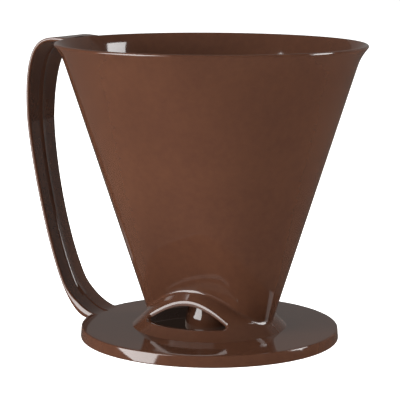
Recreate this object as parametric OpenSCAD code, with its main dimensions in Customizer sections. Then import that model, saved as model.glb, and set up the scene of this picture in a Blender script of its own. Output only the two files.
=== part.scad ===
// One-cup coffee dripper, moulded in one piece: a wedge-shaped filter cone with a
// flared rim, a strap handle, a round flange that sits on the cup, and a 45 degree
// collar with a viewing window. Each node is one region of the moulding, and the
// regions meet face to face.
//
// Frame: Z is the cone's axis and points up, Z = 0 is the table that the flange
// stands on, the handle is on -X and the window faces -Y. Millimetres.

/* [Cone] */
// Height from the table to the top of the rim
rim_h = 124; // [104:1:149]
// Outer radius of the rim
rim_r = 65; // [62:0.5:78]
// Outer radius of the cone where the flared lip starts
cone_top_r = 60.4; // [54:0.2:61]
// Height of the flared lip
lip_h = 8.5; // [6:0.5:12]
// Outward slope of the lip where it leaves the cone, radius over height
lip_slope = 0.38; // [0.3:0.01:0.5]
// Half distance between the centres of the wedge's round ends, at flange height
slot_half = 20.2; // [16:0.2:24]
// Outer radius of the wedge's round ends, at flange height
slot_r = 7.4; // [6:0.2:9]
// Wall thickness of the cone, measured level
wall = 1.6; // [1.2:0.1:2]

/* [Filter bed] */
// Height of the filter bed above the table
floor_z = 18; // [17:0.5:20]
// Thickness of the filter bed
floor_t = 1.8; // [1.4:0.1:2.4]
// Number of drip holes, in a row along X
drip_n = 3; // [1:1:3]
// Diameter of a drip hole
drip_d = 3.6; // [2.5:0.1:4.4]
// Distance between neighbouring drip holes
drip_pitch = 5.2; // [4.6:0.1:6]
// Width of a flow rib on the cone's flat inner faces
rib_w = 1.2; // [0.8:0.1:1.6]
// Height of a flow rib over the wall
rib_d = 1; // [0.6:0.1:1.4]
// Distance between neighbouring flow ribs
rib_pitch = 7; // [5:0.5:8]
// Height of the top of the longest flow ribs
rib_top = 70; // [60:1:85]

/* [Outlet] */
// Outer radius of the round outlet under the filter bed
outlet_r = 10.2; // [9:0.2:12]
// Clearance between the outermost drip hole and the outlet's bore at the bed
hole_clear = 0.3; // [0.2:0.1:0.8]
// Height of the outlet's open end above the table
outlet_z = 3; // [1:0.5:6]

/* [Collar and window] */
// Outer radius of the collar where it stands on the flange
collar_r = 32.7; // [30:0.1:38]
// Wall thickness of the collar, measured level
collar_wall = 2.05; // [1.6:0.05:2.4]
// Distance from the cone's axis to the window's upright top edge
window_back = 19.2; // [18.6:0.1:20]
// Height of the window's sill above the flange
window_sill = 3.8; // [3:0.1:5]
// Width of the window between its side edges
window_w = 36; // [28:0.5:38]
// Radius of the window's two lower corners
window_corner = 3; // [2:0.25:4]

/* [Flange] */
// Outer radius of the flange
flange_r = 54.6; // [48:0.2:66]
// Height of the flange's top over the table
flange_h = 4.8; // [4.4:0.1:6]
// Thickness of the flange plate
plate_t = 1.6; // [1.2:0.1:2]
// Thickness of the flange's turned-down rim
flange_wall = 1.8; // [1.4:0.1:2.2]
// Radius of the flange's upper edge
edge_r = 0.6; // [0.4:0.1:0.8]
// How far the flange's side leans in on its way up (the mould's draft)
side_lean = 0.3; // [0.1:0.1:0.6]
// Outer radius of the ring that centres the dripper in a cup
spigot_r = 33; // [32.6:0.1:40]
// Thickness of that ring
spigot_wall = 1.5; // [1:0.1:1.8]

/* [Handle] */
// Distance from the cone's axis to the strap's outermost point
handle_reach = 84.9; // [80:0.5:102]
// Distance from the rim's top down to the strap's outermost point
handle_drop = 34; // [28:1:41]
// Thickness of the strap
strap_t = 1.5; // [1.2:0.1:2]
// Width of the strap where it leaves the rim
strap_top_w = 27; // [22:0.5:32]
// Width of the strap at its narrowest
strap_waist_w = 17.4; // [14.5:0.5:21]
// Width of the strap where it meets the flange
strap_foot_w = 19.5; // [16:0.5:24]
// Height of the strap's narrowest place
strap_waist_z = 40; // [33:1:48]
// Fillet radius between the strap's foot and the flange
foot_fillet = 6; // [4:0.5:8]
// Height of the moulding line's bead
bead_d = 0.15; // [0.1:0.05:0.3]
// Width of the moulding line's bead
bead_w = 0.4; // [0.3:0.05:0.6]

/* [Hidden] */

function reversed(list) = [for (i = [len(list) - 1 : -1 : 0]) list[i]];

over = 0.02;                           // how far a cutting tool passes a face it ends on
big = 300;                             // larger than the whole dripper
lip_z = rim_h - lip_h;                 // where the lip starts
bed_z = floor_z - floor_t;             // underside of the filter bed
plate_z = flange_h - plate_t;          // underside of the flange plate
hollow_r = collar_r - collar_wall;     // radius of the opening under the collar
plate_r = flange_r - flange_wall - 1.2;  // where plate and rim meet
// Outer radius of the outlet where it joins the bed, just wide enough for the holes
neck_r = (drip_n - 1) / 2 * drip_pitch + drip_d / 2 + hole_clear + wall;
// The flange's side: upright to side_start, then leaning in until it runs into the
// upper edge, an arc about edge_mid
side_start = [flange_r, 0.5];
edge_mid = [flange_r - side_lean - edge_r, flange_h - edge_r];
side_angle = atan2(edge_mid[1] - side_start[1], edge_mid[0] - side_start[0])
    - asin(edge_r / norm(edge_mid - side_start));
lip_round = wall / 2;                  // the lip's top edge is fully rounded
flat_top = 0.3;                        // half width of the flat faces where the lip starts
end_steps = 36;                        // steps round each end of the wedge
curve_n = 24;                          // steps along each half of the strap
foot_z = flange_h + 9;                 // the strap changes to its foot here
root_x = -(rim_r + 6);                 // the strap changes to its root here
line_z = flange_h + 13;                // the moulding line's lower end on the strap
smooth = 96;

// ---- The wedge: a long round-ended slot below that becomes a circle at lip_z ----

function up(z) = (z - flange_h) / (lip_z - flange_h);
function end_x(z) = slot_half + (flat_top - slot_half) * up(z);
function end_r(z) = slot_r + (cone_top_r - slot_r) * up(z);
// Slope of the wedge's flat front and back faces, radius over height
face_slope = (cone_top_r - slot_r) / (lip_z - flange_h);
face_angle = atan(face_slope);

// Level outline of the wedge at height z, its wall moved inwards by inset
function wedge_ring(inset, z) = [
    for (side = [1, -1])
        for (i = [0 : end_steps])
            let (a = 180 * i / end_steps - side * 90)
            [side * end_x(z) + (end_r(z) - inset) * cos(a), (end_r(z) - inset) * sin(a), z]
];

// Solid wedge from z0 to z1, its wall moved inwards by inset
module wedge(inset, z0, z1) {
    n = 2 * (end_steps + 1);
    bottom = [for (i = [0 : n - 1]) i];
    sides = [for (i = bottom) let (k = (i + 1) % n) [i, i + n, k + n, k]];
    polyhedron(
        points = concat(wedge_ring(inset, z0), wedge_ring(inset, z1)),
        faces = concat([bottom, [for (i = reversed(bottom)) i + n]], sides)
    );
}

// ---- Rim and cone ----

// Outer radius of the lip at height u over its start
lip_u = lip_h - lip_round;
lip_bend = (rim_r - cone_top_r - lip_slope * lip_u) / (lip_u * lip_u);
function lip_r(u) = cone_top_r + lip_slope * u + lip_bend * u * u;

// Half outline of the lip, moved inwards by inset, up to the rounded top edge
function lip_side(inset) = [
    for (i = [0 : 8])
        let (u = lip_u * i / 8)
        [lip_r(u) - inset, lip_z + u]
];

module rim_lip() {
    round_top = [
        for (a = [15 : 15 : 165]) [
            rim_r - lip_round + lip_round * cos(a),
            rim_h - lip_round + lip_round * sin(a)
        ]
    ];
    color("#6b4636")
    rotate_extrude($fn = smooth)
        polygon(concat(lip_side(0), round_top, reversed(lip_side(wall))));
}

// The cone's wall: four level outlines, outer and inner, joined by flat strips
module filter_cone() {
    n = 2 * (end_steps + 1);
    function strip(from, to) = [
        for (i = [0 : n - 1])
            let (k = (i + 1) % n)
            [from + i, to + i, to + k, from + k]
    ];
    outer_low = 0;
    outer_top = n;
    inner_top = 2 * n;
    inner_low = 3 * n;
    color("#6e4838")
    polyhedron(
        points = concat(
            wedge_ring(0, floor_z), wedge_ring(0, lip_z),
            wedge_ring(wall, lip_z), wedge_ring(wall, floor_z)
        ),
        faces = concat(
            strip(outer_low, outer_top), strip(outer_top, inner_top),
            strip(inner_top, inner_low), strip(inner_low, outer_low)
        )
    );
}

// One rib on the flat inner front face, from the bed up to height z1
module flow_rib(x, z1) {
    face_y = end_r(floor_z) - wall;
    rib_len = (z1 - floor_z) / cos(face_angle);
    translate([x - rib_w / 2, -face_y, floor_z])
        rotate([face_angle, 0, 0])
            cube([rib_w, rib_d, rib_len]);
}

module flow_ribs() {
    // The outer ribs end lower, where the flat face gets narrow
    color("#644032")
    difference() {
        for (turn = [0, 180])
            rotate([0, 0, turn])
                for (i = [-1.5 : 1 : 1.5])
                    flow_rib(i * rib_pitch, abs(i) > 1 ? rib_top - 3 * rib_pitch : rib_top);
        translate([-big / 2, -big / 2, floor_z - big]) cube([big, big, big]);
    }
}

// ---- Filter bed and outlet ----

module filter_bed() {
    color("#5f3d30")
    difference() {
        intersection() {
            wedge(0, bed_z, floor_z);
            union() {
                wedge(wall, bed_z - over, floor_z + over);
                collar_cone(collar_wall);
            }
        }
        for (i = [0 : drip_n - 1])
            translate([(i - (drip_n - 1) / 2) * drip_pitch, 0, bed_z - 1])
                cylinder(d = drip_d, h = floor_t + 2, $fn = smooth);
    }
}

// The outlet's taper from its open end up to the bed, moved inwards by inset and
// lengthened at both ends by reach
module outlet_cone(inset, reach = 0) {
    h = bed_z - outlet_z;
    step = (outlet_r - neck_r) / h * reach;
    translate([0, 0, -reach])
        cylinder(
            r1 = outlet_r - inset + step, r2 = neck_r - inset - step,
            h = h + 2 * reach, $fn = smooth
        );
}

module drip_outlet() {
    color("#5f3d30")
    translate([0, 0, outlet_z])
        difference() {
            outlet_cone(0);
            outlet_cone(wall, 1);
        }
}

// ---- Collar and window ----

// Solid 45 degree cone on the flange, its wall moved inwards by inset
module collar_cone(inset) {
    tip_r = slot_r / 2;
    rise = collar_r - inset - tip_r;
    translate([0, 0, flange_h])
        cylinder(r1 = collar_r - inset, r2 = tip_r, h = rise, $fn = smooth);
}

// What the window takes out of the collar: everything in front of an upright
// plane and above the sill, with two rounded lower corners
module window_cut() {
    half = window_w / 2;
    sill = flange_h + window_sill;
    corner_x = half - window_corner;
    translate([0, -window_back, 0])
        rotate([90, 0, 0])
            linear_extrude(collar_r)
                union() {
                    translate([-half, sill + window_corner]) square([window_w, collar_r]);
                    translate([-corner_x, sill]) square([2 * corner_x, collar_r]);
                    for (side = [-1, 1])
                        translate([side * corner_x, sill + window_corner])
                            circle(r = window_corner, $fn = 48);
                }
}

module window_collar() {
    color("#704a38")
    difference() {
        union() {
            collar_cone(0);
            wedge(0, flange_h, floor_z);
        }
        translate([0, 0, -over]) collar_cone(collar_wall - over);
        wedge(wall, flange_h - over, floor_z + over);
        wedge(0, floor_z, lip_z);
        window_cut();
    }
}

// ---- Flange ----

module flange_plate() {
    color("#5c4942")
    translate([0, 0, plate_z])
        difference() {
            cylinder(r = plate_r, h = plate_t, $fn = smooth);
            translate([0, 0, -1]) cylinder(r = hollow_r, h = plate_t + 2, $fn = smooth);
        }
}

// Outline of the flange's outside, from the table to where the plate starts
function flange_side() = concat(
    [[flange_r, 0], side_start],
    [for (i = [0 : 6])
        let (a = side_angle - 90 + (180 - side_angle) * i / 6)
        edge_mid + edge_r * [cos(a), sin(a)]],
    [[plate_r, flange_h]]
);

module flange_rim() {
    color("#774c38")
    rotate_extrude($fn = smooth)
        polygon(concat(flange_side(), [
            [plate_r, plate_z],
            [flange_r - flange_wall, plate_z],
            [flange_r - flange_wall, 0]
        ]));
}

// The flange's whole envelope, which the handle's foot is cut to
module flange_solid() {
    rotate_extrude($fn = smooth)
        polygon(concat([[0, 0]], flange_side(), [[0, flange_h]]));
}

// The ring under the plate ends level with the flange's rim
module cup_ring() {
    color("#5f3d30")
    difference() {
        cylinder(r = spigot_r, h = plate_z, $fn = smooth);
        translate([0, 0, -1])
            cylinder(r = spigot_r - spigot_wall, h = plate_z + 2, $fn = smooth);
    }
}

// ---- Handle: a strap that leaves the rim level and sweeps down to the flange ----

belly_z = rim_h - handle_drop;
// Two cubic curves in the XZ plane give the strap's outer face
top_curve = [
    [-(rim_r - 5), rim_h], [-(rim_r + 5), rim_h],
    [-handle_reach, rim_h + 7], [-handle_reach, belly_z]
];
low_curve = [
    [-handle_reach, belly_z], [-handle_reach, belly_z - 18.5],
    [-(flange_r + 17.2), 0.4], [-(flange_r - 0.5), 2.7]
];

function bezier(p, t) =
    pow(1 - t, 3) * p[0] + 3 * pow(1 - t, 2) * t * p[1]
    + 3 * (1 - t) * t * t * p[2] + pow(t, 3) * p[3];
function heading(p, t) =
    let (d = pow(1 - t, 2) * (p[1] - p[0]) + 2 * (1 - t) * t * (p[2] - p[1])
        + t * t * (p[3] - p[2]))
    d / norm(d);
// Point at distance depth inside the outer face
function strap_point(p, t, depth) =
    let (d = heading(p, t))
    bezier(p, t) + depth * [-d[1], d[0]];
function strap_line(depth) = concat(
    [for (i = [0 : curve_n]) strap_point(top_curve, i / curve_n, depth)],
    [for (i = [1 : curve_n]) strap_point(low_curve, i / curve_n, depth)]
);
// Side view of the band between two depths inside the outer face
module strap_band(from_depth, to_depth) {
    polygon(concat(strap_line(from_depth), reversed(strap_line(to_depth))));
}

// Half width of the strap: narrowest at the waist, wider to the rim and the foot
function half_width(z) =
    z > strap_waist_z
        ? strap_waist_w / 2 + (strap_top_w - strap_waist_w) / 2
            * pow((z - strap_waist_z) / (rim_h - strap_waist_z), 2)
        : strap_waist_w / 2 + (strap_foot_w - strap_waist_w) / 2
            * pow((strap_waist_z - z) / strap_waist_z, 2);

// Front view of the strap, as a solid that runs along X on the handle's side
module width_solid() {
    steps = 20;
    side = [
        for (i = [0 : steps])
            let (z = (rim_h + 3) * i / steps)
            [half_width(z), z]
    ];
    mirrored = [for (p = reversed(side)) [-p[0], p[1]]];
    translate([-handle_reach - 2, 0, 0])
        rotate([90, 0, 90])
            linear_extrude(handle_reach)
                polygon(concat(side, mirrored));
}

// Turns a side view in X and Z into a solid as wide as the strap
module strap_solid() {
    intersection() {
        rotate([90, 0, 0])
            linear_extrude(strap_top_w + 10, center = true)
                children();
        width_solid();
    }
}

// Side view of the space between the rim and where the strap starts
module root_zone() {
    translate([root_x, lip_z]) square([big, big]);
}

// Side view of everything below height z
module below(z) {
    translate([-big, z - big]) square([2 * big, big]);
}

module handle_root() {
    color("#6b4636")
    difference() {
        strap_solid()
            intersection() {
                strap_band(0, strap_t);
                root_zone();
            }
        // The root ends on the lip's outside
        rotate_extrude($fn = smooth)
            polygon(concat(
                [[0, lip_z]],
                lip_side(0),
                [[rim_r, rim_h + lip_h], [0, rim_h + lip_h]]
            ));
    }
}

module handle_strap() {
    color("#4a3a36")
    strap_solid()
        difference() {
            strap_band(0, strap_t);
            root_zone();
            below(foot_z);
        }
}

// Side view of the foot: the strap's end, filleted into the flange's top
module foot_outline() {
    intersection() {
        offset(r = -foot_fillet, $fn = 48)
            offset(r = foot_fillet, $fn = 48)
                union() {
                    strap_band(0, strap_t);
                    translate([-edge_mid[0], 0]) square([flange_r / 2, flange_h]);
                }
        polygon(concat(strap_line(0), [[0, 0], [0, rim_h]]));
        below(foot_z);
    }
}

module handle_foot() {
    color("#5a3c31")
    difference() {
        strap_solid() foot_outline();
        flange_solid();
    }
}

// ---- Moulding line: the fine bead where the two halves of the mould met ----

module moulding_line() {
    color("#7b645b")
    union() {
        rotate([90, 0, 0])
            linear_extrude(bead_w, center = true)
                difference() {
                    strap_band(strap_t, strap_t + bead_d);
                    root_zone();
                    below(line_z);
                }
        // On the collar's two sides
        for (turn = [0, 180])
            rotate([0, 0, turn])
                rotate([90, 0, 0])
                    linear_extrude(bead_w, center = true)
                        polygon([
                            [collar_r, flange_h], [collar_r + bead_d, flange_h],
                            [collar_r - 3 + bead_d, flange_h + 3], [collar_r - 3, flange_h + 3]
                        ]);
    }
}

rim_lip();
filter_cone();
flow_ribs();
filter_bed();
drip_outlet();
window_collar();
flange_plate();
flange_rim();
cup_ring();
handle_root();
handle_strap();
handle_foot();
moulding_line();
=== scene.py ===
from math import atan, cos, pi, radians, sin, sqrt

import bmesh
import bpy
from mathutils import Matrix, Vector


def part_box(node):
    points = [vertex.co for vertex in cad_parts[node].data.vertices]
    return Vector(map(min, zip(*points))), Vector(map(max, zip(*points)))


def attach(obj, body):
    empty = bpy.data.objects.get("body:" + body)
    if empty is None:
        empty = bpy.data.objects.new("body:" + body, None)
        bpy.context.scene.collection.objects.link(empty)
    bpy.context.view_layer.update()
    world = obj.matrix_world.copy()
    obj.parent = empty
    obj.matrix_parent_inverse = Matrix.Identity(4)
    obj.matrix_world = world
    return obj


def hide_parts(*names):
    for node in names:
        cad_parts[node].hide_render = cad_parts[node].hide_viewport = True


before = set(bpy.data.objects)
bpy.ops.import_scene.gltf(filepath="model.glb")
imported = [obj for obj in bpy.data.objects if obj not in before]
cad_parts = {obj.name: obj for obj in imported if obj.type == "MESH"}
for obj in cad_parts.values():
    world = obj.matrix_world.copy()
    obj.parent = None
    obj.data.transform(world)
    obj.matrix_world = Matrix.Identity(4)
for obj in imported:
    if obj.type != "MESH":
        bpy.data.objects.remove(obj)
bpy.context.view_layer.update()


# ---- Camera ----
# A long lens at table height, a little to the right of the window and looking
# slightly down, so the far inside of the rim shows as a thin crescent.

MM = 0.001
scene = bpy.context.scene
camera_azimuth = radians(27.709)
camera_elevation = radians(9.465)
camera_roll = radians(0.314)
camera_distance = 705.5 * MM
camera_aim_side = -4.315 * MM
camera_aim_height = 58.05 * MM

camera_data = bpy.data.cameras.new("camera")
camera_data.sensor_width = 36
camera_data.lens = 151.2
camera_data.clip_start = 0.05
camera_data.clip_end = 20
camera = bpy.data.objects.new("camera", camera_data)
scene.collection.objects.link(camera)
scene.camera = camera

camera_right = Vector((cos(camera_azimuth), sin(camera_azimuth), 0))
camera_back = Vector((
    sin(camera_azimuth) * cos(camera_elevation),
    -cos(camera_azimuth) * cos(camera_elevation),
    sin(camera_elevation),
))
camera_up = camera_back.cross(camera_right)
camera_place = (
    camera_right * camera_aim_side + Vector((0, 0, camera_aim_height))
    + camera_back * camera_distance
)
rolled_right = camera_right * cos(camera_roll) + camera_up * sin(camera_roll)
rolled_up = camera_up * cos(camera_roll) - camera_right * sin(camera_roll)
camera.matrix_world = Matrix.Translation(camera_place) @ Matrix(
    (rolled_right, rolled_up, camera_back)
).transposed().to_4x4()


# ---- Studio ----
# A white sweep, a tall softbox to the left of the camera, a narrow one to the right
# and behind, and a wide dim backdrop. The plastic is dark and glossy, so most of
# what shows on it is these boxes.

light_aim_height = 0.06      # metres over the table
floor_radius = 3.0           # metres
paper_dark_to = 50           # the paper does not glow up to here, under the flange
paper_bright_from = 54
shade_disc_radius = 51
shade_disc_height = 0.05

scene.view_settings.view_transform = "Standard"


def linear(hex_colour):
    """sRGB hex colour as linear RGBA."""
    channels = [int(hex_colour[i:i + 2], 16) / 255 for i in (1, 3, 5)]
    return [
        c / 12.92 if c <= 0.04045 else ((c + 0.055) / 1.055) ** 2.4 for c in channels
    ] + [1]


def add_node(tree, kind, inputs=None, **settings):
    """Adds a shader node; an input is a plain value or another node's output."""
    node = tree.nodes.new(kind)
    for name, value in settings.items():
        setattr(node, name, value)
    for name, value in (inputs or {}).items():
        if isinstance(value, bpy.types.NodeSocket):
            tree.links.new(value, node.inputs[name])
        else:
            node.inputs[name].default_value = value
    return node


def softbox(name, azimuth, elevation, distance, width, height, radiance, roll=0):
    """Rectangular light that faces the object; metres and degrees, from -Y to +X."""
    data = bpy.data.lights.new(name, "AREA")
    data.shape = "RECTANGLE"
    data.size = width
    data.size_y = height
    data.energy = radiance * pi * width * height
    box = bpy.data.objects.new(name, data)
    scene.collection.objects.link(box)
    a, e = radians(azimuth), radians(elevation)
    way = Vector((sin(a) * cos(e), -cos(a) * cos(e), sin(e)))
    box.matrix_world = Matrix.Translation(way * distance + Vector((0, 0, light_aim_height))) @ (
        way.to_track_quat("Z", "Y").to_matrix().to_4x4()
    ) @ Matrix.Rotation(radians(roll), 4, "Z")
    box.visible_camera = False
    return box


softbox("softbox_left", -33, 12, 1.5, 1.15, 1.45, 11, -22)
softbox("softbox_right", 116, 19, 1.5, 0.45, 1.4, 11, -22)
softbox("backdrop", 188, 18, 2.0, 4.0, 1.6, 0.13)
# Light bounced off the ceiling is too spread out to show as a shape on the plastic
ceiling = softbox("ceiling_bounce", 0, 88, 1.2, 1.6, 1.6, 2.2)
ceiling.visible_glossy = False

world = bpy.data.worlds.new("studio")
world.use_nodes = True
scene.world = world
tree = world.node_tree
tree.nodes.clear()
path = add_node(tree, "ShaderNodeLightPath")
room = add_node(tree, "ShaderNodeBackground", {"Color": linear("#555351"), "Strength": 1.0})
bounce = add_node(tree, "ShaderNodeBackground", {"Color": (1, 1, 1, 1), "Strength": 0.1})
sweep = add_node(tree, "ShaderNodeBackground", {"Color": (1, 1, 1, 1), "Strength": 1.0})
lit = add_node(tree, "ShaderNodeMixShader", {
    0: path.outputs["Is Diffuse Ray"], 1: room.outputs[0], 2: bounce.outputs[0]})
mixed = add_node(tree, "ShaderNodeMixShader", {
    0: path.outputs["Is Camera Ray"], 1: lit.outputs[0], 2: sweep.outputs[0]})
add_node(tree, "ShaderNodeOutputWorld", {"Surface": mixed.outputs[0]})

# White paper under the dripper, so bright that it runs into the background
floor_mesh = bmesh.new()
bmesh.ops.create_circle(floor_mesh, cap_ends=True, radius=floor_radius, segments=96)
floor_data = bpy.data.meshes.new("floor")
floor_mesh.to_mesh(floor_data)
floor_mesh.free()
floor = bpy.data.objects.new("floor", floor_data)
scene.collection.objects.link(floor)
floor.visible_glossy = False
floor.visible_shadow = False
paper = bpy.data.materials.new("white_paper")
paper.use_nodes = True
tree = paper.node_tree
tree.nodes.clear()
place = add_node(tree, "ShaderNodeTexCoord").outputs["Object"]
away = add_node(tree, "ShaderNodeVectorMath", {0: place}, operation="LENGTH")
clear = add_node(tree, "ShaderNodeMapRange", {
    "Value": away.outputs["Value"],
    "From Min": paper_dark_to * MM, "From Max": paper_bright_from * MM})
matt = add_node(tree, "ShaderNodeBsdfDiffuse", {"Color": linear("#f0f0ee")})
glow = add_node(tree, "ShaderNodeEmission", {
    "Color": (1, 1, 1, 1), "Strength": clear.outputs[0]})
both = add_node(tree, "ShaderNodeAddShader", {0: matt.outputs[0], 1: glow.outputs[0]})
add_node(tree, "ShaderNodeOutputMaterial", {"Surface": both.outputs[0]})
floor_data.materials.append(paper)

# Dark disc inside the flange's rim, so no light comes up through the paper. To the camera it
# shows painted shade, a dark brown that it gives off itself whatever the light; to other rays it
# glows, a painted light that lights the hollow of the collar a little, in place of the light
# that the real, slightly translucent wall lets through
shade_disc_mesh = bmesh.new()
bmesh.ops.create_circle(shade_disc_mesh, cap_ends=True, radius=shade_disc_radius * MM, segments=96)
bmesh.ops.translate(shade_disc_mesh, verts=shade_disc_mesh.verts, vec=(0, 0, shade_disc_height * MM))
shade_disc_data = bpy.data.meshes.new("painted_shade_glow_disc")
shade_disc_mesh.to_mesh(shade_disc_data)
shade_disc_mesh.free()
shade_disc = bpy.data.objects.new("painted_shade_glow_disc", shade_disc_data)
scene.collection.objects.link(shade_disc)
painted_shade_and_glow = bpy.data.materials.new("painted_shade_and_glow")
painted_shade_and_glow.use_nodes = True
tree = painted_shade_and_glow.node_tree
tree.nodes.clear()
path = add_node(tree, "ShaderNodeLightPath")
# Painted light: the disc glows into the collar's hollow, though it is no lamp
glow = add_node(tree, "ShaderNodeEmission", {"Color": linear("#6b625c"), "Strength": 1.5})
# Painted shade: the dark brown the camera sees here is given off, not lit
painted_shade = add_node(tree, "ShaderNodeEmission", {"Color": linear("#211915"), "Strength": 1.0})
seen = add_node(tree, "ShaderNodeMixShader", {
    0: path.outputs["Is Camera Ray"], 1: glow.outputs[0], 2: painted_shade.outputs[0]})
add_node(tree, "ShaderNodeOutputMaterial", {"Surface": seen.outputs[0]})
shade_disc_data.materials.append(painted_shade_and_glow)


# ---- Filter cone, rim lip and collar ----
# The body of the moulding: a round-ended wedge below that opens into a circle,
# with a flared and rounded lip, standing on a 45 degree collar that has a lens
# shaped window cut through it. Injection moulded in brown polypropylene.

rim_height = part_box("rim_lip")[1].z / MM
rim_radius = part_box("rim_lip")[1].x / MM
lip_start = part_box("rim_lip")[0].z / MM
flange_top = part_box("window_collar")[0].z / MM
bed_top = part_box("filter_bed")[1].z / MM
bed_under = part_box("filter_bed")[0].z / MM
collar_foot = 32.7
collar_thick = 2.05
wall = 1.6
wedge_half = (20.2, 0.3)     # centre of the round ends, below and at the lip
wedge_round = (7.4, 60.4)    # radius of the round ends, below and at the lip
window_plane = 19.2
window_sill = 8.6
window_edge = radians(43.8)  # where the sill and the top edge meet
sill_corner = radians(37.5)  # where the sill starts to turn up
sill_lift = 2.3
fillet = 1.4                 # how softly the wedge runs out into the collar
seam_height = 0.12           # fine bead where the mould halves met
seam_half = 0.3
sunk_depth = 0.2             # how far the collar's foot goes into the flange
collar_rows_end = 25.0       # above this height the rows of the mesh are wider apart
hollow_limit = 26.0          # the hollow of the collar ends below this height
flare_steps = 7              # rows up the outside of the lip's flare
flare_span = 7.5             # over flare_steps, so the rows inside start below the edge
window_round = 0.12          # rounding of the window's edge


def wedge_reach(angle, z, inset=0.0):
    """Distance from the axis to the wedge's wall in one direction."""
    t = (z - flange_top) / (lip_start - flange_top)
    half = wedge_half[0] + (wedge_half[1] - wedge_half[0]) * t
    radius = wedge_round[0] + (wedge_round[1] - wedge_round[0]) * t - inset
    across, along = abs(sin(angle)), abs(cos(angle))
    if across > 1e-6 and radius * along <= half * across:
        return radius / across
    return half * along + sqrt(radius ** 2 - (half * across) ** 2)


def soft_max(a, b, reach):
    """The larger of two distances, with a fillet where they are nearly equal."""
    near = max(reach - abs(a - b), 0) / reach
    return max(a, b) + near * near * reach / 4


def outer_reach(angle, z):
    """Outside of the collar and the wedge together, with the mould's seam bead."""
    collar = collar_foot - (z - flange_top)
    sideways = collar * sin(angle)
    collar += seam_height * max(0.0, 1 - (sideways / seam_half) ** 2)
    return soft_max(collar, wedge_reach(angle, z), fillet)


def inner_reach(angle, z):
    """Inside of the hollow collar below the filter bed."""
    return max(collar_foot - collar_thick - (z - flange_top), wedge_reach(angle, z, wall))


def quadrant_angles():
    """Directions in one quadrant: close together round the wedge's tight ends."""
    first = [0, 0.3, 0.6]
    ends = [1.2 + 38.8 * i / 34 for i in range(35)]
    corner = [40 + 1.2 * i for i in range(1, 5)] + [44.8 + 0.55 * i for i in range(1, 17)]
    flat = [53.6 + 36.4 * i / 20 for i in range(1, 21)]
    return [radians(a) for a in first + ends + corner + flat]


quarter = quadrant_angles()
directions = (
    quarter[:-1]
    + [pi - a for a in reversed(quarter)][:-1]
    + [pi + a for a in quarter][:-1]
    + [2 * pi - a for a in reversed(quarter)][:-1]
)


def start_ring(mesh, count):
    """A closed ring of vertices to be put in place and then extruded."""
    made = bmesh.ops.create_circle(mesh, cap_ends=False, radius=1, segments=count)
    return made["verts"]


def grow_ring(mesh, ring):
    """Extrudes a ring and returns the new ring in the same order."""
    edges = [mesh.edges.get((ring[i - 1], ring[i])) for i in range(len(ring))]
    grown = bmesh.ops.extrude_edge_only(mesh, edges=edges)["geom"]
    fresh = {v for v in grown if isinstance(v, bmesh.types.BMVert)}
    return [
        next(e.other_vert(v) for e in v.link_edges if e.other_vert(v) in fresh)
        for v in ring
    ]


def place_ring(ring, row):
    """Puts a ring at the distances and heights in row, both in millimetres."""
    for vertex, angle, (reach, z) in zip(ring, directions, row):
        vertex.co = Vector((reach * cos(angle), reach * sin(angle), z)) * MM


def from_window(angle):
    """Angle between a direction and the window's middle."""
    return abs((angle + pi / 2 + pi) % (2 * pi) - pi)


def sill_height(angle):
    """Height of the window's sill, which turns up into the two lower corners."""
    away = min(from_window(angle), window_edge)
    turn = max(0.0, (away - sill_corner) / (window_edge - sill_corner))
    return window_sill + sill_lift * (1 - sqrt(1 - turn * turn))


def arch_height(angle, inset):
    """Height of the window's top edge, where its upright plane cuts the collar."""
    away = from_window(angle)
    if away >= window_edge:
        return sill_height(angle)
    top = flange_top + collar_foot - inset - window_plane / cos(away)
    return max(top, sill_height(angle))


def lip_curve(angle):
    """Slope, bend and end of the flare, so it runs smoothly into its round edge."""
    start = wedge_reach(angle, lip_start)
    slope = start - wedge_reach(angle, lip_start - 1)
    edge = wall / 2
    lean = 0.7
    for _ in range(6):
        rise = rim_height - lip_start - edge - edge * sin(lean)
        bend = (rim_radius - edge + edge * cos(lean) - start - slope * rise) / rise ** 2
        lean = atan(slope + 2 * bend * rise)
    return start, slope, bend, rise, lean


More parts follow.
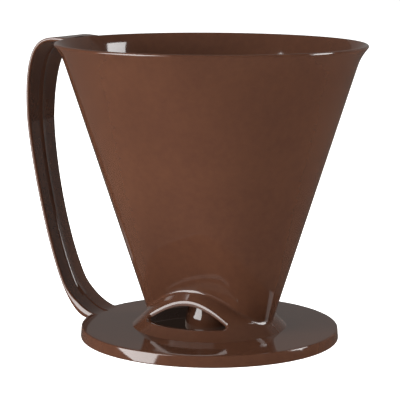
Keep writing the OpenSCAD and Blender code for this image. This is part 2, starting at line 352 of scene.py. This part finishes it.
def body_rows():
    """Rings of the body from the collar's foot, over the lip and down the inside."""
    def column_rows(lows, highs, steps, reach):
        for i in range(1, steps + 1):
            yield [
                (reach(a, low + (high - low) * i / steps), low + (high - low) * i / steps)
                for a, low, high in zip(directions, lows, highs)
            ]

    count = len(directions)
    sunk = flange_top - sunk_depth
    sills = [sill_height(a) for a in directions]
    arches = [arch_height(a, 0) for a in directions]
    yield "collar", [(outer_reach(a, sunk), sunk) for a in directions]
    for row in column_rows([sunk] * count, sills, 11, outer_reach):
        yield "collar", row
    yield "window outside", [(outer_reach(a, z), z) for a, z in zip(directions, arches)]
    for row in column_rows(arches, [collar_rows_end] * count, 26, outer_reach):
        yield "collar", row
    lows, highs = [collar_rows_end] * count, [lip_start] * count
    for row in column_rows(lows, highs, 24, outer_reach):
        yield "cone", row
    curves = [lip_curve(a) for a in directions]
    for i in range(1, flare_steps + 1):
        yield "lip", [
            (start + slope * rise * i / flare_steps + bend * (rise * i / flare_steps) ** 2,
             lip_start + rise * i / flare_steps)
            for start, slope, bend, rise, lean in curves
        ]
    for i in range(1, 13):
        yield "lip", [
            (rim_radius - wall / 2 + wall / 2 * cos(pi * i / 12 - lean),
             rim_height - wall / 2 + wall / 2 * sin(pi * i / 12 - lean))
            for *_, lean in curves
        ]
    for i in range(flare_steps, -1, -1):
        yield "lip inside", [
            (start + slope * rise * i / flare_span + bend * (rise * i / flare_span) ** 2
             - wall * (1 + (1 / cos(lean) - 1) * (i / flare_span) ** 2),
             lip_start + rise * i / flare_span)
            for start, slope, bend, rise, lean in curves
        ]

    def inside(angle, z):
        return wedge_reach(angle, z, wall)

    for row in column_rows([lip_start] * count, [bed_top] * count, 24, inside):
        yield "cone inside", row
    # Under the bed the hollow collar narrows to an edge against the wedge
    peaks = []
    for a in directions:
        low, high = bed_under, hollow_limit
        for _ in range(30):
            middle = (low + high) / 2
            hollow = collar_foot - collar_thick - (middle - flange_top)
            low, high = (middle, high) if hollow > wedge_reach(a, middle) else (low, middle)
        peaks.append(low)
    ends = []
    for a in directions:
        hollow = collar_foot - collar_thick - (bed_under - flange_top)
        roomy = hollow > wedge_reach(a, bed_under)
        ends.append(wedge_reach(a, bed_under) if roomy else inner_reach(a, bed_under))
    yield "bed edge", [(reach, bed_under) for reach in ends]
    for i in (1, 2):
        yield "hollow", [
            (reach + (inner_reach(a, peak) - reach) * i / 2,
             bed_under + (peak - bed_under) * i / 2)
            for a, reach, peak in zip(directions, ends, peaks)
        ]
    inner_arches = [
        min(arch_height(a, collar_thick), peak) for a, peak in zip(directions, peaks)]
    for row in column_rows(peaks, inner_arches, 6, inner_reach):
        yield "hollow", row
    yield "window inside", [(inner_reach(a, z), z) for a, z in zip(directions, sills)]
    for row in column_rows(sills, [sunk] * count, 6, inner_reach):
        yield "hollow", row


def skin(name, mesh, sharp_degrees=35):
    """Turns a bmesh into a smooth-shaded object at the origin, and frees the bmesh."""
    data = bpy.data.meshes.new(name)
    mesh.to_mesh(data)
    mesh.free()
    data.shade_smooth()
    data.set_sharp_from_angle(angle=radians(sharp_degrees))
    made = bpy.data.objects.new(name, data)
    scene.collection.objects.link(made)
    return made


body_mesh = bmesh.new()
ring = start_ring(body_mesh, len(directions))
first_ring = ring
window_gaps = []
for i, (zone, row) in enumerate(body_rows()):
    if i:
        previous, ring = ring, grow_ring(body_mesh, ring)
        if zone.startswith("window"):
            for k, a in enumerate(directions):
                following = (k + 1) % len(directions)
                nearest = max(from_window(a), from_window(directions[following]))
                if nearest < window_edge - 1e-6:
                    window_gaps += [
                        f for f in previous[k].link_faces
                        if previous[following] in f.verts and ring[k] in f.verts
                    ]
    place_ring(ring, row)
bmesh.ops.bridge_loops(body_mesh, edges=[
    body_mesh.edges.get((loop[k - 1], loop[k]))
    for loop in (first_ring, ring) for k in range(len(directions))
])
bmesh.ops.delete(body_mesh, geom=window_gaps, context="FACES")
bmesh.ops.remove_doubles(body_mesh, verts=body_mesh.verts, dist=0.004 * MM)
bmesh.ops.dissolve_degenerate(body_mesh, edges=body_mesh.edges, dist=0.001 * MM)
window_rims = [e for e in body_mesh.edges if e.is_boundary]
bmesh.ops.bridge_loops(body_mesh, edges=window_rims)
bmesh.ops.recalc_face_normals(body_mesh, faces=body_mesh.faces)
bmesh.ops.bevel(
    body_mesh, geom=[e for e in window_rims if e.is_valid], offset=window_round * MM,
    segments=2, profile=0.5, affect="EDGES", material=-1, clamp_overlap=True)
body = skin("cone_and_collar", body_mesh, 40)


def glossy_polypropylene(name, shade_light, shade_dark, gloss, gloss_change, wave, grain):
    """Injection moulded polypropylene; each pattern's size is in millimetres."""
    made = bpy.data.materials.new(name)
    made.use_nodes = True
    tree = made.node_tree
    tree.nodes.clear()
    place = add_node(tree, "ShaderNodeTexCoord").outputs["Object"]
    # Pigment that is spread a little unevenly, in patches about 35 mm across
    cloud = add_node(tree, "ShaderNodeTexNoise", {
        "Vector": place, "Scale": 1 / (35 * MM), "Detail": 3.0, "Roughness": 0.5})
    # and in fine mottling of about 3 mm
    fleck = add_node(tree, "ShaderNodeTexNoise", {
        "Vector": place, "Scale": 1 / (3 * MM), "Detail": 2.0, "Roughness": 0.6})
    blend = add_node(tree, "ShaderNodeMath", {
        0: cloud.outputs["Fac"], 1: fleck.outputs["Fac"]}, operation="ADD")
    spread = add_node(tree, "ShaderNodeMapRange", {
        "Value": blend.outputs[0], "From Min": 0.7, "From Max": 1.3})
    pigment = add_node(tree, "ShaderNodeMix", {
        "Factor": spread.outputs[0], "A": linear(shade_dark), "B": linear(shade_light)},
        data_type="RGBA")
    # The mould's polish differs in patches about 14 mm across
    polish = add_node(tree, "ShaderNodeTexNoise", {
        "Vector": place, "Scale": 1 / (14 * MM), "Detail": 4.0, "Roughness": 0.6})
    rough = add_node(tree, "ShaderNodeMapRange", {
        "Value": polish.outputs["Fac"], "From Min": 0.3, "From Max": 0.7,
        "To Min": gloss - gloss_change, "To Max": gloss + gloss_change})
    # Sink of the cooling wall, about 26 mm from crest to crest
    sink = add_node(tree, "ShaderNodeTexNoise", {
        "Vector": place, "Scale": 1 / (26 * MM), "Detail": 1.0, "Roughness": 0.4})
    wavy = add_node(tree, "ShaderNodeBump", {
        "Height": sink.outputs["Fac"], "Strength": 1.0, "Distance": wave * MM})
    # Orange peel of the steel, drawn at 0.9 mm so that it shows
    peel = add_node(tree, "ShaderNodeTexNoise", {
        "Vector": place, "Scale": 1 / (0.9 * MM), "Detail": 1.0, "Roughness": 0.5})
    fine = add_node(tree, "ShaderNodeBump", {
        "Height": peel.outputs["Fac"], "Strength": 1.0, "Distance": grain * MM,
        "Normal": wavy.outputs["Normal"]})
    plastic = add_node(tree, "ShaderNodeBsdfPrincipled", {
        "Base Color": pigment.outputs["Result"], "Roughness": rough.outputs[0],
        "IOR": 1.49, "Normal": fine.outputs["Normal"]})
    add_node(tree, "ShaderNodeOutputMaterial", {"Surface": plastic.outputs[0]})
    return made


# Polished mould: a clear mirror of the softboxes with slightly wavy edges
polished = glossy_polypropylene(
    "polished_brown_polypropylene", "#42291d", "#3b241a", 0.07, 0.02, 0.03, 0.00015)
body.data.materials.append(polished)
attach(body, "root")
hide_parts("rim_lip", "filter_cone", "window_collar")


# ---- Filter bed ----
# The flat bottom of the cone, with a row of three drip holes through it. Part of
# the same moulding, so its edge runs into the wall.

hole_radius = 1.8
hole_pitch = 5.2
bed_inset = 0.3              # how far the bed goes into the wall
hole_round = 0.3
hole_row_half = 8            # half the length of the row of holes, and a little more

bed_mesh = bmesh.new()
outline = start_ring(bed_mesh, len(directions))
place_ring(outline, [(wedge_reach(a, bed_top, wall - bed_inset), bed_top) for a in directions])
for i in (-1, 0, 1):
    hole = bmesh.ops.create_circle(
        bed_mesh, cap_ends=False, radius=hole_radius * MM, segments=48)["verts"]
    bmesh.ops.translate(bed_mesh, verts=hole, vec=(i * hole_pitch * MM, 0, bed_top * MM))
bmesh.ops.triangle_fill(bed_mesh, use_beauty=True, use_dissolve=False, edges=bed_mesh.edges)
bmesh.ops.recalc_face_normals(bed_mesh, faces=bed_mesh.faces)
for face in bed_mesh.faces:
    if face.normal.z < 0:
        face.normal_flip()
lower = bmesh.ops.extrude_face_region(bed_mesh, geom=bed_mesh.faces[:], use_keep_orig=True)
bmesh.ops.translate(
    bed_mesh, vec=(0, 0, (bed_under - bed_top) * MM),
    verts=[v for v in lower["geom"] if isinstance(v, bmesh.types.BMVert)])
bmesh.ops.recalc_face_normals(bed_mesh, faces=bed_mesh.faces)
hole_edges = [
    e for e in bed_mesh.edges
    if e.calc_face_angle(0) > 1.2
    and all(
        abs(v.co.y) < (hole_radius + 0.1) * MM and abs(v.co.x) < hole_row_half * MM
        for v in e.verts)
]
bmesh.ops.bevel(
    bed_mesh, geom=hole_edges, offset=hole_round * MM, segments=2, profile=0.5,
    affect="EDGES", material=-1)
bed = skin("filter_bed_plate", bed_mesh)
# Less polished on the bed, the ribs and the cup ring, where the mould is only ground
ground = glossy_polypropylene(
    "satin_brown_polypropylene", "#3f271c", "#382219", 0.26, 0.05, 0.05, 0.0008)
bed.data.materials.append(ground)
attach(bed, "root")
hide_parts("filter_bed")


# ---- Flow ribs ----
# Eight low bars on the two flat inner faces, moulded with the wall. They hold the
# paper off the wall so that the coffee can run down to the bed.

rib_width = 1.2
rib_height = 1.0
rib_pitch = 7.0
rib_tops = (49.0, 70.0, 70.0, 49.0)
rib_sunk = 0.4               # how far a bar goes into the wall
rib_round = 0.35

face_lean = atan((wedge_round[1] - wedge_round[0]) / (lip_start - flange_top))
bed_face = wedge_reach(pi / 2, bed_top, wall)
rib_mesh = bmesh.new()
for side in (0, pi):
    for i, top in enumerate(rib_tops):
        length = (top - bed_top) / cos(face_lean)
        bar = bmesh.ops.create_cube(rib_mesh, size=1)["verts"]
        bmesh.ops.scale(
            rib_mesh, verts=bar, vec=(rib_width * MM, (rib_height + rib_sunk) * MM, length * MM))
        bmesh.ops.translate(
            rib_mesh, verts=bar, vec=(0, (rib_height - rib_sunk) / 2 * MM, length / 2 * MM))
        bmesh.ops.rotate(rib_mesh, verts=bar, matrix=Matrix.Rotation(face_lean, 3, "X"))
        bmesh.ops.translate(
            rib_mesh, verts=bar,
            vec=((i - 1.5) * rib_pitch * MM, -bed_face * MM, bed_top * MM))
        bmesh.ops.rotate(rib_mesh, verts=bar, matrix=Matrix.Rotation(side, 3, "Z"))
bmesh.ops.bevel(
    rib_mesh, geom=rib_mesh.edges[:], offset=rib_round * MM, segments=3, profile=0.5,
    affect="EDGES", material=-1)
bmesh.ops.recalc_face_normals(rib_mesh, faces=rib_mesh.faces)
ribs = skin("flow_rib_bars", rib_mesh)
ribs.data.materials.append(ground)
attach(ribs, "root")
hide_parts("flow_ribs")


# ---- Drip outlet ----
# A short round spout under the bed that gathers the drips. It shows through the
# collar's window. Moulded on the bed, with a softened lower edge.

outlet_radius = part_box("drip_outlet")[1].x / MM
outlet_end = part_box("drip_outlet")[0].z / MM
outlet_neck = 1.3            # how much narrower the spout is at the bed
outlet_sunk = 0.4            # how far the spout goes into the bed


def spin_section(name, section, steps, sharp_degrees=30):
    """Turns a closed outline of (radius, height) points in mm into a round solid."""
    mesh = bmesh.new()
    corners = [mesh.verts.new((r * MM, 0, z * MM)) for r, z in section]
    edges = [mesh.edges.new((corners[i - 1], corners[i])) for i in range(len(corners))]
    bmesh.ops.spin(
        mesh, geom=corners + edges, cent=(0, 0, 0), axis=(0, 0, 1), angle=2 * pi,
        steps=steps, use_merge=True)
    bmesh.ops.remove_doubles(mesh, verts=mesh.verts, dist=0.001 * MM)
    bmesh.ops.recalc_face_normals(mesh, faces=mesh.faces)
    return skin(name, mesh, sharp_degrees)


def arc(centre_r, centre_z, radius, start, end, steps):
    """Points of an arc in a section, with its angles in degrees."""
    angles = [radians(start + (end - start) * i / steps) for i in range(steps + 1)]
    return [(centre_r + radius * cos(a), centre_z + radius * sin(a)) for a in angles]


outlet = spin_section("drip_spout", [
    (outlet_radius - outlet_neck - wall, bed_under + outlet_sunk),
    (outlet_radius - outlet_neck, bed_under + outlet_sunk),
    (outlet_radius - outlet_neck * 0.93, bed_under - 1.5),
    (outlet_radius - outlet_neck * 0.80, bed_under - 3),
    (outlet_radius - outlet_neck * 0.60, bed_under - 4.5),
    (outlet_radius - outlet_neck * 0.36, bed_under - 6),
    (outlet_radius - outlet_neck * 0.15, bed_under - 7.5),
    (outlet_radius - outlet_neck * 0.03, bed_under - 9),
    (outlet_radius, bed_under - 10.2),
    *arc(outlet_radius - wall / 2, outlet_end + wall / 2, wall / 2, 0, -180, 10),
    (outlet_radius - wall, bed_under - 10.2),
    (outlet_radius - outlet_neck * 0.60 - wall, bed_under - 4.5),
], 128)
outlet.data.materials.append(polished)
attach(outlet, "root")
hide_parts("drip_outlet")


# ---- Flange ----
# The round plate that lies on the cup, turned down at its edge to a rim that stands
# on the table. Moulded with the collar and polished; the side has a little draft.

flange_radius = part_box("flange_rim")[1].x / MM
plate_edge = 51.6            # where the plate meets the rim
edge_round = 0.6
side_draft = 0.3             # how far the side leans in on its way up
plate_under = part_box("flange_plate")[0].z / MM
rim_wall = 1.8
side_foot = 0.5              # height where the side's draft begins
foot_round = 0.35            # edges of the rim's foot
inner_round = 0.6            # corner where the rim's inside meets the plate
flat_edge = flange_radius - side_draft - edge_round   # where the flat top ends

flange = spin_section("flange_disc", [
    (collar_foot - collar_thick, plate_under), (collar_foot - collar_thick, flange_top),
    (collar_foot - 0.6, flange_top), (collar_foot + 2, flange_top),
    (collar_foot + 8, flange_top), (flange_radius - 8, flange_top),
    (plate_edge, flange_top), (flat_edge, flange_top),
    *arc(flat_edge, flange_top - edge_round, edge_round, 90, 5, 8),
    (flange_radius, side_foot),
    *arc(flange_radius - foot_round, foot_round, foot_round, 0, -90, 4),
    *arc(flange_radius - rim_wall + foot_round, foot_round, foot_round, -90, -180, 4),
    (flange_radius - rim_wall, 1.5),
    *arc(flange_radius - rim_wall - inner_round, plate_under - inner_round,
         inner_round, 0, 90, 5),
    (collar_foot + 4, plate_under),
], 288)
flange.data.materials.append(polished)
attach(flange, "root")
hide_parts("flange_plate", "flange_rim")


# ---- Cup ring ----
# A low ring under the flange that keeps the dripper centred in the cup's mouth.
# Moulded under the plate, with its lower edge rounded so that it slips in.

ring_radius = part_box("cup_ring")[1].x / MM
ring_wall = 1.5
ring_round = 0.5

cup_ring = spin_section("cup_locating_ring", [
    (ring_radius - ring_wall, plate_under + 0.3), (ring_radius, plate_under + 0.3),
    *arc(ring_radius - ring_round, ring_round, ring_round, 0, -90, 5),
    *arc(ring_radius - ring_wall + ring_round, ring_round, ring_round, -90, -180, 5),
], 192)
cup_ring.data.materials.append(ground)
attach(cup_ring, "root")
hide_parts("cup_ring")


# ---- Handle ----
# A flat strap that leaves the rim level, bends over and sweeps down and in to the
# flange, where its inner face runs out into the plate. It is narrowest at the
# waist, its long edges are rounded, and the mould's seam is a fine bead inside.

reach = -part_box("handle_strap")[0].x / MM
strap_thick = 1.5
belly_height = 90.0
top_curve = [
    (-60, rim_height), (-70, rim_height), (-reach, rim_height + 7), (-reach, belly_height),
]
low_curve = [(-reach, belly_height), (-reach, 71.5), (-71.8, 0.4), (-54.1, 2.7)]
waist_height = 40
waist_half = 8.7
waist_to_rim = 84
gain_above = 4.8             # how much wider each half is at the rim than at the waist
gain_below = 1.05            # the same at the table
foot_start = 0.70            # where on the low curve the foot begins to thicken
edge_soft = 0.55


def bezier(points, t):
    """Point and direction on a cubic curve."""
    p = [Vector(q) for q in points]
    s = 1 - t
    place = p[0] * s ** 3 + p[1] * 3 * s * s * t + p[2] * 3 * s * t * t + p[3] * t ** 3
    way = (p[1] - p[0]) * s * s + (p[2] - p[1]) * 2 * s * t + (p[3] - p[2]) * t * t
    return place, way.normalized()


def half_width(z):
    """Half of the strap's width at a height, narrowest at the waist."""
    if z > waist_height:
        return waist_half + gain_above * ((z - waist_height) / waist_to_rim) ** 2
    return waist_half + gain_below * ((waist_height - z) / waist_height) ** 2


def curve_at_x(x):
    """Where the top curve reaches x."""
    low, high = 0.0, 1.0
    for _ in range(30):
        middle = (low + high) / 2
        low, high = (middle, high) if bezier(top_curve, middle)[0].x > x else (low, middle)
    return low


root_edge = rim_radius - 0.8   # the strap starts a little inside the lip
root_blend = 14.0            # over this length the sections turn to follow the rim
root_t = curve_at_x(-root_edge)
top_steps, low_steps = 45, 60
stations = (
    [("top", root_t + (1 - root_t) * i / top_steps) for i in range(top_steps + 1)]
    + [("low", i / low_steps) for i in range(1, low_steps + 1)]
)

foot_from, foot_way = bezier(low_curve, foot_start)
foot_from = foot_from + Vector((-foot_way.y, foot_way.x)) * strap_thick
foot_pull = 5.0              # how long the foot's inner face keeps the strap's direction
foot_level = 5.5             # how far outside the plate's edge it levels out
foot_lap = 1                 # how far it runs in over the plate
foot_curve = [
    foot_from, foot_from + foot_way * foot_pull,
    (-plate_edge - foot_level, flange_top), (-plate_edge + foot_lap, flange_top),
]


def make_outline(half):
    """Closed cross-section for one half width, in mm across and depth from 0 to 1."""
    flat = [-0.9, -0.6, -0.3, 0, 0.3, 0.6, 0.9]
    outer = [(f * (half - edge_soft), 0.0) for f in flat]
    right = [
        (half - edge_soft + edge_soft * sin(a), 0.5 - 0.5 * cos(a))
        for a in [radians(15 * j) for j in range(0, 13)]
    ]
    inner_flat = [0.9, 0.6, 0.3]
    bead = [(0.35, 1.0), (0.18, 1.07), (0.0, 1.1), (-0.18, 1.07), (-0.35, 1.0)]
    inner = (
        [(f * (half - edge_soft), 1.0) for f in inner_flat] + bead
        + [(-f * (half - edge_soft), 1.0) for f in reversed(inner_flat)]
    )
    left = [(-x, 1 - d) for x, d in right]
    return outer + right + inner + left


strap_mesh = bmesh.new()
ring = start_ring(strap_mesh, len(make_outline(10)))
first_ring = ring
for i, (part, t) in enumerate(stations):
    if i:
        ring = grow_ring(strap_mesh, ring)
    curve = top_curve if part == "top" else low_curve
    middle, _ = bezier(curve, t)
    half = half_width(middle.y)
    for vertex, (across, depth) in zip(ring, make_outline(half)):
        here_t = t
        if part == "top" and middle.x > -root_edge - root_blend:
            # The first stations follow the rim's circle
            share = 1 - (-root_edge - middle.x) / root_blend
            shift = root_edge - sqrt(root_edge ** 2 - across ** 2)
            here_t = curve_at_x(middle.x + shift * share)
        outer, heading = bezier(curve, here_t)
        inward = Vector((-heading.y, heading.x))
        inner = outer + inward * strap_thick
        if part == "low" and t > foot_start:
            inner, _ = bezier(foot_curve, (t - foot_start) / (1 - foot_start))
            share = ((t - foot_start) / (1 - foot_start)) ** 2
            in_shift = plate_edge - sqrt(plate_edge ** 2 - across ** 2)
            out_shift = flange_radius - sqrt(flange_radius ** 2 - across ** 2)
            inner = inner + Vector((in_shift * share, 0))
            outer = outer + Vector((out_shift * share, 0))
        spot = outer + (inner - outer) * depth
        vertex.co = Vector((spot.x, across, spot.y)) * MM
for loop in (first_ring, ring):
    bmesh.ops.contextual_create(strap_mesh, geom=loop)
bmesh.ops.recalc_face_normals(strap_mesh, faces=strap_mesh.faces)
handle = skin("handle_strap_swept", strap_mesh, 50)
handle.data.materials.append(polished)
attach(handle, "root")
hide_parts("handle_root", "handle_strap", "handle_foot", "moulding_line")
